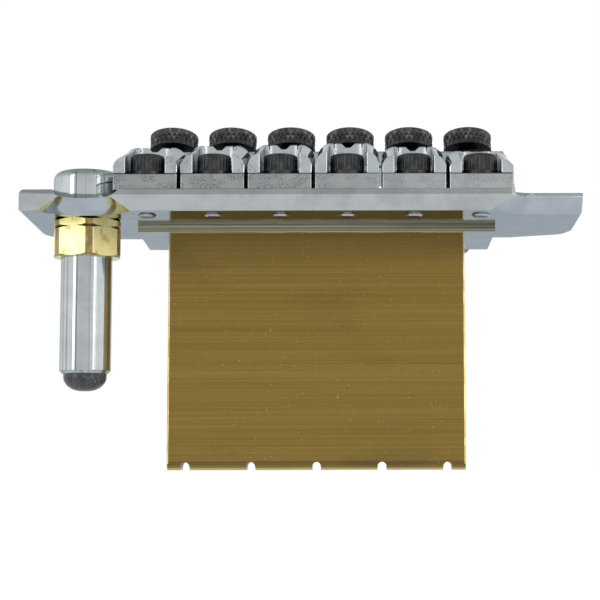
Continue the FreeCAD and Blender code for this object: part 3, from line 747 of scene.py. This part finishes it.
def knurl(shape, low, high, radius):
    """Diamond pattern on the rim between two heights."""
    sunk = set()
    step = (high - low) / knurl_rows
    for vertex in shape.verts:
        row = (vertex.co.z - low) / step
        wide = math.hypot(vertex.co.x, vertex.co.y)
        if abs(wide - radius) > 1e-6 or not 0.5 < row < knurl_rows - 0.5:
            continue
        column = round(math.atan2(vertex.co.y, vertex.co.x) / math.tau * knurl_count)
        if (column + round(row)) % 2:
            sunk.add(vertex)
            vertex.co.xy *= (radius - knurl_deep) / radius
    for face in list(shape.faces):
        low_pair = [vertex for vertex in face.verts if vertex in sunk]
        if len(low_pair) == 2 and len(face.verts) == 4:
            first, second = low_pair
            if not any(first in edge.verts and second in edge.verts for edge in face.edges):
                bmesh.utils.face_split(face, first, second)


def knob_outline(radius, tall, hole):
    edge, dish, dish_deep, floor_of_hole = 0.1 * MM, 2.9 * MM, 0.4 * MM, 1.0 * MM
    low, high = -tall + edge, -edge
    wall = [(radius, low + (high - low) * k / knurl_rows) for k in range(knurl_rows + 1)]
    under = [(0, -floor_of_hole), (hole, -floor_of_hole), (hole, -tall), (radius - edge, -tall)]
    top = [(radius - edge, 0), (dish, 0), (dish - dish_deep, -dish_deep), (0, -dish_deep)]
    return under + wall + top, low, high


for n in strings:
    turn = joints["tuner_turn_" + n]
    place = stand(turn["pos_m"], turn["axis"])
    knob = rings("tuner_knob_" + n, place)
    knob_round = max(radius for radius, level in knob)
    outline, low, high = knob_outline(knob_round, -knob[0][1], knob_hole)
    knob_shape = lathe(outline, knurl_count)
    knurl(knob_shape, low, high, knob_round)
    # Faces under the knob get the painted shade.
    for face in knob_shape.faces:
        face.material_index = int(face.normal.z < -0.7)
    knob_shape.transform(place)
    settle(knob_shape, "tuner_knob_knurled_" + n, "tuner_knob_" + n, [knob_steel, knob_underside_shade], sharp=12)
print("six knobs,", round(2 * knob_round / MM, 2), "mm across")

# %% [markdown]
# ## Socket-head screws
# The saddle screws have straight knurled heads with a smooth collar below. A straight knurl is easier than
# a diamond one: every second column of the spun wall goes in a little. The hexagon socket is a six-sided
# circle joined to the rim by a fill, then pushed down.

# %% Saddle screws and lock screws
flute_count = 34
flute_deep = 0.09 * MM
tip_bevel, neck_edge, collar_step = 0.3 * MM, 0.1 * MM, 0.08 * MM


def hex_socket(shape, level, flats, deep):
    """Closes the open top of a spun screw with a hexagon socket."""
    rim = [edge for edge in shape.edges if edge.is_boundary]
    hexagon = bmesh.ops.create_circle(shape, segments=6, radius=flats / math.sqrt(3),
                                      matrix=Matrix.Translation((0, 0, level)))["verts"]
    mouth = list({edge for vertex in hexagon for edge in vertex.link_edges})
    bmesh.ops.triangle_fill(shape, edges=rim + mouth, use_beauty=True)
    grown = bmesh.ops.extrude_edge_only(shape, edges=mouth)["geom"]
    lowered = [item for item in grown if isinstance(item, bmesh.types.BMVert)]
    bmesh.ops.translate(shape, verts=lowered, vec=(0, 0, -deep))
    bmesh.ops.holes_fill(shape, edges=[edge for edge in shape.edges if edge.is_boundary], sides=6)
    bmesh.ops.recalc_face_normals(shape, faces=shape.faces)


def fluted(shape, low, high, radius):
    """Straight grooves on the wall between two heights."""
    for vertex in shape.verts:
        wide = math.hypot(vertex.co.x, vertex.co.y)
        if abs(wide - radius) > 1e-6 or not low - 1e-6 < vertex.co.z < high + 1e-6:
            continue
        column = round(math.atan2(vertex.co.y, vertex.co.x) / math.tau * flute_count * 2)
        if column % 2:
            vertex.co.xy *= (radius - flute_deep) / radius


def cap_screw(tip, shank, neck, head, top, edge, flats, deep):
    """A cap screw along Z: shank from tip to neck, fluted head from neck to top."""
    collar = neck + (top - neck) * 0.20
    outline = [(0, tip), (shank - tip_bevel, tip), (shank, tip + tip_bevel), (shank, neck),
               (head - neck_edge, neck), (head, neck + neck_edge), (head, collar),
               (head, collar + collar_step), (head, top - edge), (head - edge * 0.35, top - edge * 0.3),
               (head - edge, top), (flats * 0.66, top)]
    shape = lathe(outline, flute_count * 2)
    fluted(shape, collar + collar_step / 2, top - edge, head)
    hex_socket(shape, top, flats, deep)
    return shape


screw_head, screw_shank, screw_head_tall, screw_edge = 2.75 * MM, 1.5 * MM, 3.5 * MM, 0.45 * MM
screw_drive, screw_drive_deep = 2.5 * MM, 1.6 * MM
tip_highlight_level = -2.3 * MM
low_corner, high_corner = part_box("saddle_screws")
screw_middle = (low_corner.y + high_corner.y) / 2
neck_level = high_corner.z - screw_head_tall
screws = bmesh.new()
screws_mesh = bpy.data.meshes.new("saddle_screw_one")
for n in strings:
    x = joints["tuner_turn_" + n]["pos_m"][0]
    one = cap_screw(low_corner.z, screw_shank, neck_level, screw_head, high_corner.z, screw_edge,
                    screw_drive, screw_drive_deep)
    one.transform(Matrix.Translation((x, screw_middle, 0)))
    one.to_mesh(screws_mesh)
    one.free()
    screws.from_mesh(screws_mesh)
bpy.data.meshes.remove(screws_mesh)
# Painted highlight: the shank and the tip's bevel near the screw tips are light ground steel; the flat end
# stays black.
for face in screws.faces:
    if face.calc_center_median().z < tip_highlight_level and face.normal.z > -0.9:
        face.material_index = 1
settle(screws, "saddle_screws_knurled", "saddle_screws", [black_steel, pin_steel], sharp=24)

lock_shank, lock_edge = 2.0 * MM, 0.35 * MM
lock_drive, lock_drive_deep = 3.0 * MM, 3.0 * MM
for n in strings:
    turn = joints["lock_turn_" + n]
    place = stand(turn["pos_m"], turn["axis"])
    lock = rings("lock_screw_" + n, place)
    lock_head = max(radius for radius, level in lock)
    lock_neck = min(level for radius, level in lock if radius > lock_head - 0.4 * MM)
    lock_shape = cap_screw(lock[0][1], lock_shank, lock_neck, lock_head, lock[-1][1], lock_edge,
                           lock_drive, lock_drive_deep)
    lock_shape.transform(place)
    settle(lock_shape, "lock_screw_knurled_" + n, "lock_screw_" + n, [black_steel], sharp=24)
print("saddle screw heads", round(2 * screw_head / MM, 2), "mm, lock screw heads",
      round(2 * lock_head / MM, 2), "mm")

# %% [markdown]
# ## Threaded tuner shanks
# A screw thread is a helix. Spin can climb while it turns, so a small triangle beside the axis becomes a
# ridge that winds round a thinner core. Core and ridge together keep the diameter of the CAD shank.

# %% Tuner screws
thread_pitch = 0.7 * MM
thread_deep = 0.26 * MM
thread_steps = 28
thread_clear = 0.4 * MM


def thread(shape, radius, low, high):
    """Winds a ridge round Z from low to high, as wide as radius."""
    turns = (high - low) / thread_pitch
    steps = int(turns * thread_steps)
    foot = radius - thread_deep - 0.05 * MM
    half = thread_pitch * 0.42
    triangle = ((foot, 0, low - half), (radius, 0, low), (foot, 0, low + half))
    corners = [shape.verts.new(point) for point in triangle]
    loop = [shape.edges.new((corners[k], corners[(k + 1) % 3])) for k in range(3)]
    bmesh.ops.spin(shape, geom=corners + loop, cent=(0, 0, 0), axis=(0, 0, 1), angle=math.tau * turns,
                   dvec=(0, 0, (high - low) / steps), steps=steps)
    bmesh.ops.holes_fill(shape, edges=[edge for edge in shape.edges if edge.is_boundary], sides=3)
    bmesh.ops.recalc_face_normals(shape, faces=shape.faces)


for n in strings:
    turn = joints["tuner_turn_" + n]
    place = stand(turn["pos_m"], turn["axis"])
    shank = rings("tuner_screw_" + n, place)
    wide = max(radius for radius, level in shank)
    core = wide - thread_deep
    tip, top = shank[0][1], shank[-1][1]
    angles = [math.radians(degrees) for degrees in range(0, 91, 15)]
    dome = [(core * math.sin(a), tip + core * (1 - math.cos(a))) for a in angles]
    shank_shape = lathe(dome + [(core, top), (0, top)], 40)
    thread(shank_shape, wide, tip + core + thread_clear, top - thread_clear)
    shank_shape.transform(place)
    settle(shank_shape, "tuner_screw_threaded_" + n, "tuner_screw_" + n, [black_steel])
print("six threaded shanks,", round(2 * wide / MM, 2), "mm")

# %% [markdown]
# ## Nodes that stay
# The pins, the leaf spring with its screws, the block screws and the bush are right as the CAD made them.
# They only trade their plain slot colour for a worked finish.

# %% Finishes for the nodes that stay
kept = {"block_screws": black_steel, "leaf_spring": spring_steel, "leaf_screws": spring_steel,
        "arm_bush": bush_plastic}
kept.update({"saddle_pin_" + n: pin_steel for n in strings})
for node, material in kept.items():
    for place in nodes[node].material_slots:
        place.material = material
print(len(kept), "CAD nodes keep their own mesh")
